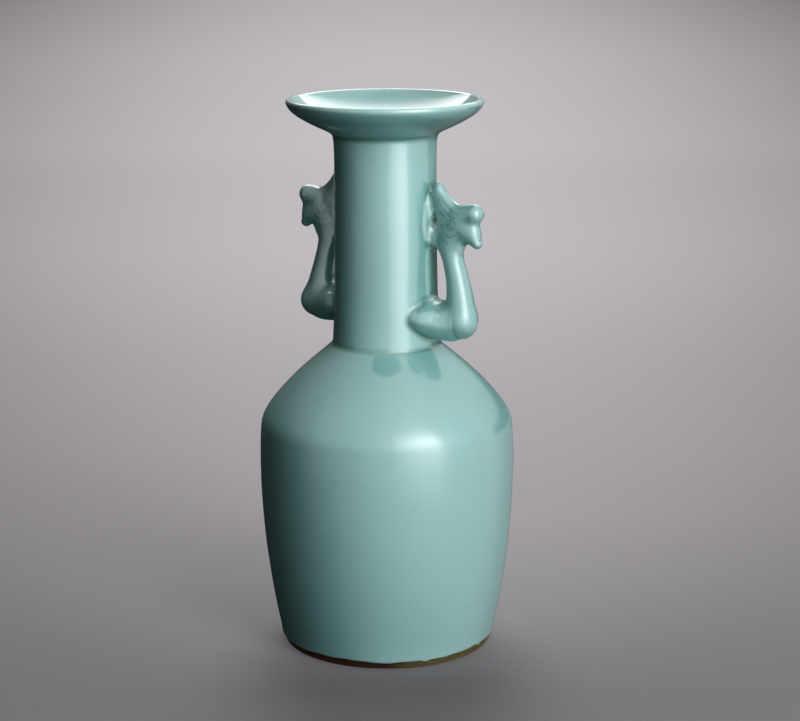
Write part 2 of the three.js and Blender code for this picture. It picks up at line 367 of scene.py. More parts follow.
# Waves of the glaze's lower edge: turns round the foot and share of the wander
EDGE_WAVES = ((2, 0.35), (3, 0.3), (5, 0.35), (9, 0.25), (14, 0.2), (23, 0.16), (37, 0.1))

# Where the glaze was wiped higher, and where it ran down in a tongue: degrees round the foot,
# width in degrees and rise
EDGE_TONGUES = ((6, 26, 1.25), (-36.5, 1.3, -0.9), (1, 1.5, -1.3), (128, 1.6, -1.0),
                (212, 1.2, -0.8))


def edge_wander(angle):
    """The glaze's lower edge rises and falls round the foot."""
    chance = np.random.default_rng(5)
    total = 0.0
    for turns, share in EDGE_WAVES:
        total = total + share * np.sin(turns * angle + chance.uniform(0, 2 * math.pi))
    total = total * sizes().glaze_edge_wander / MM
    for centre, width, rise in EDGE_TONGUES:
        apart = (np.degrees(angle) - centre + 180) % 360 - 180
        total = total + rise * np.exp(-(apart / width) ** 2)
    return total


# Skins

def object_of(name, points, faces, material, **attributes):
    """An object from points in metres, with values painted on its points."""
    mesh = bpy.data.meshes.new(name)
    mesh.from_pydata(points.tolist(), [], faces)
    mesh.update()
    for label, values in attributes.items():
        attribute = mesh.attributes.new(label, "FLOAT", "POINT")
        attribute.data.foreach_set("value", values.astype(np.float32))
    mesh.materials.append(material)
    made = bpy.data.objects.new(name, mesh)
    bpy.context.scene.collection.objects.link(made)
    return made


class Skin:
    """Gathers the points, faces, normals and the glaze's pooling, with its painted shade, of one
    piece.
    """

    def __init__(self):
        self.points, self.normals, self.pooling, self.bare, self.faces = [], [], [], [], []
        self.count = 0

    def add(self, points, normals, faces, pooling=0.0, bare=0.0):
        size = len(points)
        self.points.append(points)
        self.normals.append(normals)
        self.pooling.append(np.broadcast_to(pooling, (size,)))
        self.bare.append(np.full(size, float(bare)))
        self.faces += (np.asarray(faces) + self.count).tolist()
        self.count += size

    def piece(self, name, material):
        piece = object_of(name, np.concatenate(self.points) * MM, self.faces, material,
                          pooling=np.concatenate(self.pooling), bare=np.concatenate(self.bare))
        mesh = piece.data
        mesh.polygons.foreach_set("use_smooth", np.ones(len(mesh.polygons), bool))
        mesh.normals_split_custom_set_from_vertices(np.concatenate(self.normals).tolist())
        return piece


def grid_faces(rows, columns):
    """Quads between the rows of a grid that closes round the axis."""
    i, j = np.meshgrid(np.arange(rows - 1), np.arange(columns), indexing="ij")
    nxt = (j + 1) % columns
    quads = [i * columns + j, i * columns + nxt, (i + 1) * columns + nxt, (i + 1) * columns + j]
    return np.stack([q.ravel() for q in quads], 1)


def grid_normals(points):
    """Normals of a grid that closes round the axis."""
    round_way = np.roll(points, -1, 1) - np.roll(points, 1, 1)
    normals = np.cross(round_way, np.gradient(points, axis=0))
    return normals / np.maximum(np.linalg.norm(normals, axis=2), 1e-12)[:, :, None]


def bending(line):
    """How fast the line turns, by its length."""
    along = lengths_along(line)
    way = np.gradient(line, along, axis=0)
    return np.gradient(np.unwrap(np.arctan2(way[:, 1], way[:, 0])), along)


def turned_grid(line, wander=False):
    """A line turned round the axis: points and normals as (row, column, 3), and the pooling."""
    columns = sizes().turn_steps
    angle = np.arange(columns)[None, :] * 2 * math.pi / columns
    radius, z = line[:, :1], line[:, 1:]
    quiet = smooth_between(radius, 0.0, 12.0)
    r = radius + unevenness(angle, z) * quiet
    height = z + 0 * angle
    if wander:
        height = height + edge_wander(angle) * (1 - smooth_between(z, 4.2, 8.5)) * (radius > 50)
    points = np.stack([r * np.cos(angle), r * np.sin(angle), height], 2)
    return points, grid_normals(points), -bending(line)


# The painted shade on the neck beside each handle, drawn in the pooled glaze's colour: how much,
# half width and offset in degrees
NECK_PAINTED_SHADE = 0.3
NECK_PAINTED_SHADE_WIDTH = 15
NECK_PAINTED_SHADE_OFFSET = 15


def painted_shade_by_handles(points):
    """Painted shade of each handle on the neck, in the narrow gap on one side of it, drawn as
    deeper glaze colour.
    """
    angle = np.degrees(np.arctan2(points[:, 1], points[:, 0]))
    radius, z = np.hypot(points[:, 0], points[:, 1]), points[:, 2]
    on_neck = (radius > 25.5) * (1 - smooth_between(radius, 28.2, 30.5))
    tall = smooth_between(z, 176, 190) * smooth_between(252 - z, 0, 10)
    total = 0.0
    for centre in (HANDLE_TURN + NECK_PAINTED_SHADE_OFFSET, 180 - NECK_PAINTED_SHADE_OFFSET - HANDLE_TURN):
        apart = (angle - centre + 180) % 360 - 180
        total = total + np.exp(-(apart / NECK_PAINTED_SHADE_WIDTH) ** 4)
    return NECK_PAINTED_SHADE * total * on_neck * tall


def section(skin, grid, first, last):
    """The rows from first to last of a turned grid, as part of a piece."""
    points, normals, turn = grid
    columns = points.shape[1]
    rows = last - first + 1
    place = points[first:last + 1].reshape(-1, 3)
    # The glaze's pooling in the hollows, with the painted shade beside the handles added
    pooling = np.repeat(turn[first:last + 1], columns) + painted_shade_by_handles(place)
    skin.add(place, normals[first:last + 1].reshape(-1, 3), grid_faces(rows, columns), pooling)


def joint_face(skin, outer, inner, up):
    """The flat clay face where a section was luted to its neighbour."""
    columns = len(outer)
    points = np.concatenate([inner, outer] if up else [outer, inner])
    normal = np.tile([0.0, 0.0, 1.0 if up else -1.0], (2 * columns, 1))
    faces = grid_faces(2, columns)
    skin.add(points, normal, faces[:, ::-1], 0.0, 1.0)


def row_at(grid, height, falling):
    """The row of a grid at a seam's height, on the rising outer or the falling inner side."""
    z = grid[0][:, :, 2].mean(axis=1)
    step = np.gradient(z)
    side = step < 0 if falling else step > 0
    return int(np.argmin(np.where(side, np.abs(z - height), 1e9)))


# Materials

def node_group(name, inputs, outputs):
    """A shader node group with named sockets and its input and output nodes."""
    group = bpy.data.node_groups.new(name, "ShaderNodeTree")
    for label, kind, default in inputs:
        socket = group.interface.new_socket(name=label, in_out="INPUT", socket_type=kind)
        if default is not None:
            socket.default_value = default
    for label, kind in outputs:
        group.interface.new_socket(name=label, in_out="OUTPUT", socket_type=kind)
    return group, group.nodes.new("NodeGroupInput"), group.nodes.new("NodeGroupOutput")


class Wiring:
    """Short ways to place and join nodes in one tree."""

    def __init__(self, tree):
        self.tree = tree

    def node(self, kind, **settings):
        node = self.tree.nodes.new(kind)
        for key, value in settings.items():
            setattr(node, key, value)
        return node

    def join(self, source, target):
        self.tree.links.new(source, target)

    def value(self, operation, a, b=None, c=None, clamp=False):
        node = self.node("ShaderNodeMath", operation=operation, use_clamp=clamp)
        for socket, given in zip(node.inputs, (a, b, c)):
            if given is None:
                continue
            if isinstance(given, (int, float)):
                socket.default_value = given
            else:
                self.join(given, socket)
        return node.outputs[0]

    def ramp(self, source, low, high, to_low=0.0, to_high=1.0):
        node = self.node("ShaderNodeMapRange", interpolation_type="SMOOTHSTEP", clamp=True)
        self.join(source, node.inputs["Value"])
        node.inputs["From Min"].default_value = low
        node.inputs["From Max"].default_value = high
        node.inputs["To Min"].default_value = to_low
        node.inputs["To Max"].default_value = to_high
        return node.outputs["Result"]

    def noise(self, place, size, detail=2.0, rough=0.5):
        """Noise whose features are about as large as size, in metres."""
        node = self.node("ShaderNodeTexNoise")
        self.join(place, node.inputs["Vector"])
        node.inputs["Scale"].default_value = 1.0 / size
        node.inputs["Detail"].default_value = detail
        node.inputs["Roughness"].default_value = rough
        return node.outputs["Fac"]

    def relief(self, height, target):
        """A bump of a height in metres, joined to a shader's normal."""
        node = self.node("ShaderNodeBump")
        node.inputs["Strength"].default_value = 1.0
        node.inputs["Distance"].default_value = 1.0
        self.join(height, node.inputs["Height"])
        self.join(node.outputs["Normal"], target)

    def surface(self, shader, kind="ShaderNodeOutputMaterial"):
        """The shader is what the tree puts out."""
        self.join(shader.outputs[0], self.node(kind).inputs["Surface"])

    def blend(self, share, a, b):
        """One colour or the other, by a share from 0 to 1."""
        node = self.node("ShaderNodeMix", data_type="RGBA")
        for label, given in (("Factor", share), ("A", a), ("B", b)):
            socket = node.inputs[label]
            if isinstance(given, (int, float, tuple)):
                socket.default_value = given
            else:
                self.join(given, socket)
        return node.outputs["Result"]


def emptied(owner):
    """The node tree of a material or world, emptied, with short ways to fill it."""
    owner.use_nodes = True
    owner.node_tree.nodes.clear()
    return Wiring(owner.node_tree)


def rgba(colour):
    return (*colour, 1.0)


def shaded(colour, share):
    """The colour made darker or lighter by a share, up to full strength."""
    return rgba([min(1.0, v * share) for v in colour])


def speck_group():
    """Scattered small spots. Spots is 1 in the middle of a spot and 0 between them."""
    group, inside, outside = node_group(
        "scattered specks",
        [("Place", "NodeSocketVector", None), ("Spacing", "NodeSocketFloat", 100.0),
         ("Spot", "NodeSocketFloat", 0.02), ("Rarity", "NodeSocketFloat", 0.8)],
        [("Spots", "NodeSocketFloat")])
    w = Wiring(group)
    cells = w.node("ShaderNodeTexVoronoi")
    w.join(inside.outputs["Place"], cells.inputs["Vector"])
    w.join(inside.outputs["Spacing"], cells.inputs["Scale"])
    chance = w.node("ShaderNodeSeparateColor")
    w.join(cells.outputs["Color"], chance.inputs["Color"])
    chosen = w.value("GREATER_THAN", chance.outputs["Red"], inside.outputs["Rarity"])
    size = w.value("MULTIPLY", chance.outputs["Green"], inside.outputs["Spot"])
    near = w.value("SUBTRACT", 1.0, w.value("DIVIDE", cells.outputs["Distance"], size), clamp=True)
    w.join(w.value("MULTIPLY", near, chosen), outside.inputs["Spots"])
    return group


def mottle_group():
    """Broad and fine drift of a fired surface, as two masks from 0 to 1."""
    group, inside, outside = node_group(
        "fired drift",
        [("Place", "NodeSocketVector", None), ("Broad", "NodeSocketFloat", 30.0),
         ("Fine", "NodeSocketFloat", 400.0)],
        [("Broad drift", "NodeSocketFloat"), ("Fine drift", "NodeSocketFloat")])
    w = Wiring(group)
    for label, detail in (("Broad", 3.0), ("Fine", 2.0)):
        noise = w.node("ShaderNodeTexNoise")
        w.join(inside.outputs["Place"], noise.inputs["Vector"])
        w.join(inside.outputs[label], noise.inputs["Scale"])
        noise.inputs["Detail"].default_value = detail
        w.join(w.ramp(noise.outputs["Fac"], 0.28, 0.72), outside.inputs[label + " drift"])
    return group


# Dark spots that the fire left in the glaze: place in metres and radius
FIRE_SPOTS = (
    ((-0.02543, -0.06121, 0.12047), 0.00055),
    ((0.06004, -0.01608, 0.03155), 0.0006),
    ((0.0157, -0.02147, 0.24009), 0.0005),
    ((-0.0521, 0.0350, 0.0710), 0.0006),
    ((0.0170, 0.0652, 0.0880), 0.0005),
)


def use_group(w, name, place, **values):
    node = w.node("ShaderNodeGroup", node_tree=bpy.data.node_groups[name])
    w.join(place, node.inputs["Place"])
    for label, value in values.items():
        node.inputs[label].default_value = value
    return node


# The glaze's two layers
MILKY_ROUGHNESS = 0.46
GLASS_ROUGHNESS = 0.045
GLASS_SHARE = 0.75
GLASS_IOR = 1.5
MILKY_SHEEN = 0.36

# The glaze's ripple, its fine peel and the pits of its specks, in metres
RIPPLE_SIZE = 0.006
PEEL_SIZE = 0.0016
RIPPLE_HEIGHT = 0.000004
PEEL_HEIGHT = 0.0000004
PIT_DEPTH = 0.00001

# The clay's grain, and how high its grain and its grit stand, in metres
GRAIN_SIZE = 0.0009
GRAIN_HEIGHT = 0.00022
GRIT_HEIGHT = 0.00012


def celadon_glaze():
    material = bpy.data.materials.new("celadon_glaze_coat")
    w = emptied(material)
    c = colours()
    place = w.node("ShaderNodeTexCoord").outputs["Object"]
    pooling = w.node("ShaderNodeAttribute", attribute_name="pooling").outputs["Fac"]
    bare = w.node("ShaderNodeAttribute", attribute_name="bare").outputs["Fac"]
    drift = use_group(w, "fired drift", place, Broad=24.0, Fine=520.0)
    fine = drift.outputs["Fine drift"]
    broad = drift.outputs["Broad drift"]

    # Pooled glaze in hollows, with the painted shade beside the handles, both drawn in the pooled
    # colour
    pooled_and_shaded = w.ramp(pooling, 0.015, 0.22)
    thin = w.ramp(w.value("MULTIPLY", pooling, -1.0), 0.05, 0.75)
    even = w.blend(w.value("MULTIPLY", broad, 0.22), rgba(c.glaze), shaded(c.glaze, 0.86))
    even = w.blend(w.value("MULTIPLY", fine, 0.14), even, shaded(c.glaze, 1.22))
    colour = w.blend(w.value("MULTIPLY", pooled_and_shaded, 0.88), even, rgba(c.glaze_pool_and_shade))
    colour = w.blend(w.value("MULTIPLY", thin, 0.8), colour, rgba(c.glaze_thin))
    small = use_group(w, "scattered specks", place, Spacing=150.0, Spot=0.045, Rarity=0.9)
    large = use_group(w, "scattered specks", place, Spacing=42.0, Spot=0.022, Rarity=0.86)
    spots = w.value("MAXIMUM", w.value("MULTIPLY", small.outputs["Spots"], 0.55),
                    large.outputs["Spots"])
    for centre, radius in FIRE_SPOTS:
        apart = w.node("ShaderNodeVectorMath", operation="DISTANCE")
        w.join(place, apart.inputs[0])
        apart.inputs[1].default_value = centre
        spots = w.value("MAXIMUM", spots, w.ramp(apart.outputs["Value"], radius, radius * 0.35))
    colour = w.blend(w.value("MULTIPLY", spots, 0.85), colour, rgba(c.iron_speck))
    colour = w.blend(bare, colour, rgba(c.clay_light))

    skin = w.node("ShaderNodeBsdfPrincipled")
    w.join(colour, skin.inputs["Base Color"])
    # A milky depth under a glassy surface. The clay at a joint is rougher and has no glass on it.
    milky = w.value("MULTIPLY_ADD", fine, 0.06, MILKY_ROUGHNESS)
    w.join(w.value("MULTIPLY_ADD", bare, 0.4, milky), skin.inputs["Roughness"])
    skin.inputs["IOR"].default_value = GLASS_IOR
    skin.inputs["Specular IOR Level"].default_value = MILKY_SHEEN
    w.join(w.value("MULTIPLY_ADD", bare, -GLASS_SHARE, GLASS_SHARE, clamp=True),
           skin.inputs["Coat Weight"])
    skin.inputs["Coat Roughness"].default_value = GLASS_ROUGHNESS
    skin.inputs["Coat IOR"].default_value = GLASS_IOR

    ripple = w.noise(place, RIPPLE_SIZE, 1.0)
    peel = w.noise(place, PEEL_SIZE, 2.0)
    height = w.value("ADD", w.value("MULTIPLY", ripple, RIPPLE_HEIGHT),
                     w.value("MULTIPLY", peel, PEEL_HEIGHT))
    # The glass follows the ripple, and only the milky layer has the pits
    w.relief(height, skin.inputs["Coat Normal"])
    height = w.value("SUBTRACT", height, w.value("MULTIPLY", small.outputs["Spots"], PIT_DEPTH))
    w.relief(height, skin.inputs["Normal"])
    w.surface(skin)
    return material


def bare_clay():
    material = bpy.data.materials.new("bare_clay_ring")
    w = emptied(material)
    c = colours()
    place = w.node("ShaderNodeTexCoord").outputs["Object"]
    drift = use_group(w, "fired drift", place, Broad=34.0, Fine=900.0)
    # Paler ochre on one side of the foot and dark red-brown on the other: partly the fire's uneven
    # touch, partly painted shade on the side away from the light
    parts = w.node("ShaderNodeSeparateXYZ")
    w.join(place, parts.inputs[0])
    toward_lit_side = w.value("ADD", w.value("MULTIPLY", parts.outputs["X"], 0.86),
                     w.value("MULTIPLY", parts.outputs["Y"], 0.2))
    ochre_and_lit_side = w.ramp(w.value("MULTIPLY_ADD", drift.outputs["Broad drift"], 0.02, toward_lit_side),
                   0.018, 0.052)
    colour = w.blend(ochre_and_lit_side, rgba(c.clay), rgba(c.clay_light))
    colour = w.blend(w.value("MULTIPLY", drift.outputs["Fine drift"], 0.4), colour,
                     shaded(c.clay, 0.45))
    grit = use_group(w, "scattered specks", place, Spacing=700.0, Spot=0.4, Rarity=0.84)
    colour = w.blend(w.value("MULTIPLY", grit.outputs["Spots"], 0.7), colour,
                     shaded(c.clay_light, 1.15))
    skin = w.node("ShaderNodeBsdfPrincipled")
    w.join(colour, skin.inputs["Base Color"])
    w.join(w.ramp(drift.outputs["Broad drift"], 0.0, 1.0, 0.62, 0.85), skin.inputs["Roughness"])
    skin.inputs["Specular IOR Level"].default_value = 0.05
    rough = w.noise(place, GRAIN_SIZE, 4.0, 0.6)
    height = w.value("ADD", w.value("MULTIPLY", rough, GRAIN_HEIGHT),
                     w.value("MULTIPLY", grit.outputs["Spots"], GRIT_HEIGHT))
    w.relief(height, skin.inputs["Normal"])
    w.surface(skin)
    return material


def finish_of(slot):
    """The material of one finish, made once with the groups that it uses."""
    if "scattered specks" not in bpy.data.node_groups:
        speck_group()
        mottle_group()
    name, make = {"celadon_glaze": ("celadon_glaze_coat", celadon_glaze),
                  "bare_clay": ("bare_clay_ring", bare_clay)}[slot]
    return bpy.data.materials.get(name) or make()


def settle(piece, node):
    """The piece stands for its CAD node and stays with the vase."""
    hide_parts(node)
    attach(piece, "root")


# The thrown sections

SEAMS = (SIDE_BASE, SHOULDER_BASE, NECK_BASE, DISH_BASE)


def outer_profile():
    return softened(np.concatenate([outer_line(), inner_line()]), sizes().glaze_softness / MM)


def thrown_grid():
    """One grid from the glaze's lower edge over the lip down to the middle of the floor."""
    return turned_grid(spaced(outer_profile(), SEAMS), wander=True)


def foot_section():
    """The bare ring that the vase stands on, with edges a little worn."""
    outer = FOOT_RADIUS - FOOT_RING_INSET
    ring_in = outer - FOOT_RING_WIDTH
    line = np.concatenate([
        [[ring_in - 1.0, 4.6], [ring_in - 1.0, 4.0]],
        bend((ring_in - 0.9, 3.6), (ring_in, 2.0), (ring_in, 1.4), 8),
        bend((ring_in, 1.2), (ring_in, 0.0), (ring_in + 1.2, 0.0), 8),
        [[ring_in + 2.5, 0.0], [ring_in + 4.5, 0.0], [outer - 2.4, 0.0]],
        bend((outer - 1.1, 0.0), (outer, 0.0), (outer, 1.1), 8),
        bend((outer, 1.3), (outer, 2.6), (outer + 0.7, 4.4), 8),
        [[outer + 0.6, 6.0]],
    ])
    along = lengths_along(line)
    rows = np.linspace(0, along[-1], 64)
    line = np.stack([np.interp(rows, along, line[:, k]) for k in (0, 1)], 1)
    points, normals, turn = turned_grid(line[::-1])
    return points[::-1], -normals[::-1], turn[::-1]


# How far the turned clay of the foot is off the true round
CLAY_ROUGHNESS = 0.05


class CELADON_OT_foot(Operator):
    """Turn the bare foot ring"""

    bl_idname = "celadon.foot"
    bl_label = "Foot ring"

    def execute(self, context):
        points, normals, _ = foot_section()
        columns = points.shape[1]
        angle = np.arctan2(points[..., 1], points[..., 0])
        chance = np.random.default_rng(3)
        rough = np.zeros(points.shape[:2])
        along = np.arange(len(points))[:, None]
        for _ in range(40):
            turns = int(chance.integers(5, 90))
            rough += (4.0 / (turns + 8)) * np.sin(
                turns * angle + chance.uniform(-0.5, 0.5) * along + chance.uniform(0, 6.3))
        rough = rough * CLAY_ROUGHNESS
        rough[:3] = 0.0
        out = points.copy()
        standing = normals[..., 2] < 0.7
        out[..., :2] *= (1 + rough * standing / FOOT_RADIUS)[..., None]
        out[..., 2] = np.maximum(out[..., 2], 0.0)
        skin = Skin()
        skin.add(out.reshape(-1, 3), grid_normals(out).reshape(-1, 3),
                 grid_faces(len(points), columns))
        top = np.concatenate([out[-1], out[0]])
        skin.add(top, np.tile([0.0, 0.0, 1.0], (len(top), 1)), grid_faces(2, columns))
        settle(skin.piece("foot_ring_clay", finish_of("bare_clay")), "foot_ring")
        return {"FINISHED"}


class CELADON_OT_sections(Operator):
    """Throw the floor, the side wall, the shoulder, the neck and the dish mouth"""

    bl_idname = "celadon.sections"
    bl_label = "Thrown sections"

    def execute(self, context):
        grid = thrown_grid()
        points = grid[0]
        glaze = finish_of("celadon_glaze")
        last = len(points) - 1
        up = {seam: row_at(grid, seam, False) for seam in SEAMS}
        down = {seam: row_at(grid, seam, True) for seam in SEAMS}
        if not last > row_at(grid, LIP_TOP, False) > up[DISH_BASE]:
            raise RuntimeError("the profile's rows are out of order")

        # Name, CAD node and the seams between which each tube stands
        for name, node, low, high in (
                ("side_wall", "body_side", SIDE_BASE, SHOULDER_BASE),
                ("shoulder_cone", "shoulder", SHOULDER_BASE, NECK_BASE),
                ("neck_tube", "neck", NECK_BASE, DISH_BASE)):
            skin = Skin()
            section(skin, grid, up[low], up[high])
            section(skin, grid, down[high], down[low])
            joint_face(skin, points[up[low]], points[down[low]], False)
            joint_face(skin, points[up[high]], points[down[high]], True)
            settle(skin.piece(name, glaze), node)

        skin = Skin()
        section(skin, grid, up[DISH_BASE], down[DISH_BASE])
        joint_face(skin, points[up[DISH_BASE]], points[down[DISH_BASE]], False)
        settle(skin.piece("dish_mouth", glaze), "mouth_dish")

        skin = Skin()
        section(skin, grid, 0, up[SIDE_BASE])
        section(skin, grid, down[SIDE_BASE], last)
        joint_face(skin, points[up[SIDE_BASE]], points[down[SIDE_BASE]], True)
        self.close_middle(skin, points[last], 1.0)
        self.recess(skin)
        settle(skin.piece("floor_glaze", glaze), "base_floor")
        return {"FINISHED"}

    def close_middle(self, skin, ring, way):
        """A fan from the last ring to the axis."""
        columns = len(ring)
        middle = np.array([[0.0, 0.0, ring[:, 2].mean() - 0.01 * way]])
        j = np.arange(columns)
        nxt = (j + 1) % columns
        fan = np.stack([j, nxt, np.full(columns, columns)], 1)
        flat = np.tile([0.0, 0.0, way], (columns + 1, 1))
        skin.add(np.concatenate([ring, middle]), flat, fan if way > 0 else fan[:, ::-1])

    def recess(self, skin):
        """The glazed underside inside the foot ring."""
        edge = FOOT_RADIUS - FOOT_RING_INSET - FOOT_RING_WIDTH - 1.0
        radius = np.linspace(2.0, edge - 1.2, 40)
        dome = np.stack([radius, 3.9 + 1.9 * (1 - (radius / edge) ** 2)], 1)
        roll = bend(dome[-1], (edge, 3.75), (edge + 0.35, 3.1), 6)
        under = bend(roll[-1], (edge + 0.75, 3.0), (edge + 0.9, 3.6), 6)
        line = np.concatenate([dome, roll, under])
        grid = turned_grid(softened(line, 0.6)[::3])
        section(skin, grid, 0, len(grid[0]) - 1)
        self.close_middle(skin, grid[0][0], -1.0)


# The phoenix handles

FORMS = {
    "handle_right": dict(head_lift=0.0, head_shift=0.0, nape_drop=0.0, crest_drop=0.0,
                         stem_shift=0.0, elbow_reach=0.0, lug_lift=0.0, turn=HANDLE_TURN),
    "handle_left": dict(head_lift=2.6, head_shift=-0.8, nape_drop=0.5, crest_drop=4.2,
                        stem_shift=-1.4, elbow_reach=1.9, lug_lift=2.9, turn=180 - HANDLE_TURN),
}

# Outline of the head as [stand-off from the neck's skin, rise above the lug]
HEAD_OUTLINE = (
    (13, 31), (18, 34), (19.5, 37.6), (25, 42), (26.6, 47.6), (24.0, 54), (17.6, 56.8),
    (12.8, 59.6), (8.8, 63.2), (5.8, 66.8), (3.4, 66.2), (0.2, 62), (-4, 59.5), (-4, 37.4),
    (1.5, 35.6), (5, 34), (8, 31.5),
)
# The eyelet as [stand-off, rise, half width, half height], and the cheek with its half thickness
EYELET = (3.2, 48.3, 1.5, 3.9)
CHEEK = (17.4, 47.0, 9.4, 9.0, 4.8)

# The head plate's half thickness and the rounding of its edges, and the cheek's steepness
PLATE_HALF = 2.9
PLATE_ROUND = 2.2
CHEEK_FALL = 4.8

# How far each form of a handle melts into what it grows from
MELT = dict(cheek=3.0, crest=2.4, beak=2.0, knob=2.0, stem=2.6, strip=3.6, eyelet=1.6, lug=7.5)

# How square the lug's section is: 2 is an oval, less is nearer to a lozenge
LUG_POWER = 1.8

# Limbs as [stand-off, rise, half height, half thickness]
CREST = ((8.4, 56.5, 4.6, 3.2), (6.0, 62.0, 3.0, 2.7), (4.9, 66.8, 1.4, 2.1))
KNOB = ((17.5, 51.6, 4.8, 4.4), (22.5, 53.2, 5.2, 4.9), (25.0, 53.5, 5.2, 5.2))
BEAK = ((17, 46.6, 6.6, 4.6), (23.4, 43, 5.4, 4.6), (26.9, 38.5, 2.8, 3.2))
STEM = ((13.2, 41, 6.6, 4.6), (12.2, 34, 6.1, 5.2), (13.4, 28, 5.5, 5.6), (15.6, 19, 5.9, 6.1),
        (17.1, 9.2, 7, 7), (17.8, 0.5, 8, 8))
LUG = ((18, -4.1, 7.9, 8.4), (13.6, -4.2, 9.6, 10.4), (7.6, -3.7, 10.0, 13.2),
       (1, -2.3, 9.8, 16.2), (-2, -1.6, 9.4, 16.6))
LUTE_STRIP = ((-0.9, 39.5, 1.5, 4.2), (-0.8, 46, 1.5, 5.4), (-0.9, 57.5, 1.5, 4.2))

# Combed lines on both faces of the head: points as [stand-off, rise]
GROOVE_WIDTH = 0.6
FEATHERS = (
    ((7.4, 63.0), (9.6, 58.4), (13.4, 55.0), (17.2, 53.4)),
    ((6.2, 60.0), (8.6, 55.6), (12.2, 52.4), (15.8, 51.4)),
    ((7.6, 54.0), (10.0, 50.8), (12.4, 49.6), (15.2, 50.2), (16.6, 47.6), (15.2, 45.2),
     (12.8, 45.2), (11.8, 47.2), (13.4, 48.2)),
    ((8.2, 46.4), (9.6, 43.0), (12.6, 41.4), (16.2, 42.0), (18.6, 44.4)),
    ((7.2, 42.4), (9.0, 39.4), (12.4, 37.8)),
)


def smooth_run(stations, spans=10):
    """A smooth line through stations, with the girth carried along."""
    p = np.array(stations, float)
    apart = np.linalg.norm(np.diff(p[:, :2], axis=0), axis=1)
    knots = np.concatenate([[0.0], np.cumsum(np.sqrt(apart))])
    slope = np.gradient(p, knots, axis=0)
    out = []
    for i in range(len(p) - 1):
        gap = knots[i + 1] - knots[i]
        t = np.linspace(0, 1, spans, endpoint=False)[:, None]
        out.append((2 * t ** 3 - 3 * t ** 2 + 1) * p[i]
                   + (t ** 3 - 2 * t ** 2 + t) * gap * slope[i]
                   + (3 * t ** 2 - 2 * t ** 3) * p[i + 1]
                   + (t ** 3 - t ** 2) * gap * slope[i + 1])
    return np.concatenate(out + [p[-1:]])


def closed_run(corners, spans=8):
    """A smooth closed line through its corners."""
    wrapped = [*corners[-3:], *corners, *corners[:3]]
    run = smooth_run(wrapped, spans)
    return run[3 * spans:(3 + len(corners)) * spans]


def nearest_on(run, x, z):
    """Distance to a line in the handle's plane, and what the line carries there."""
    x, z = np.broadcast_arrays(x, z)
    best = np.full(x.shape, 1e9)
    carried = [np.zeros(x.shape) for _ in range(run.shape[1] - 2)]
    for a, b in zip(run[:-1], run[1:]):
        dx, dz = b[0] - a[0], b[1] - a[1]
        t = np.clip(((x - a[0]) * dx + (z - a[1]) * dz) / (dx * dx + dz * dz + 1e-12), 0, 1)
        d = np.hypot(x - a[0] - t * dx, z - a[1] - t * dz)
        closer = d < best
        best = np.where(closer, d, best)
        for k, values in enumerate(carried):
            carried[k] = np.where(closer, a[2 + k] + t * (b[2 + k] - a[2 + k]), values)
    return best, carried


def limb_field(run, x, y, z, power=2.0):
    """About the distance to the skin of an oval limb, negative inside."""
    d, (half, thick) = nearest_on(run, x, z)
    k = ((d / half) ** power + (np.abs(y) / thick) ** power) ** (1 / power)
    return np.sqrt(d * d + y * y) * (1 - 1 / np.maximum(k, 1e-4))


def melted(a, b, reach):
    """Union of two fields whose meeting is filled by glaze over the given reach."""
    h = np.maximum(reach - np.abs(a - b), 0.0) / reach
    return np.minimum(a, b) - h * h * reach / 4


def melted_smoothly(a, b, reach):
    """The same, with a fillet that starts and ends without a change of curvature."""
    h = np.maximum(reach - np.abs(a - b), 0.0) / reach
    return np.minimum(a, b) - h * h * h * reach / 6


def plate_distance(outline, x, z):
    """Signed distance to the head's outline in the handle's plane."""
    x, z = np.broadcast_arrays(x, z)
    best = np.full(x.shape, 1e9)
    inside = np.zeros(x.shape, bool)
    for a, b in zip(outline, np.roll(outline, -1, 0)):
        dx, dz = b - a
        t = np.clip(((x - a[0]) * dx + (z - a[1]) * dz) / (dx * dx + dz * dz), 0, 1)
        best = np.minimum(best, np.hypot(x - a[0] - t * dx, z - a[1] - t * dz))
        straddles = (a[1] > z) != (b[1] > z)
        with np.errstate(divide="ignore", invalid="ignore"):
            at = a[0] + (z - a[1]) * dx / dz
        inside ^= straddles & (x < at)
    return np.where(inside, -best, best)


def moved(stations, aside, rise):
    """Stations of a line or limb, moved in the handle's plane."""
    return [(a + aside, b + rise, *girth) for a, b, *girth in stations]


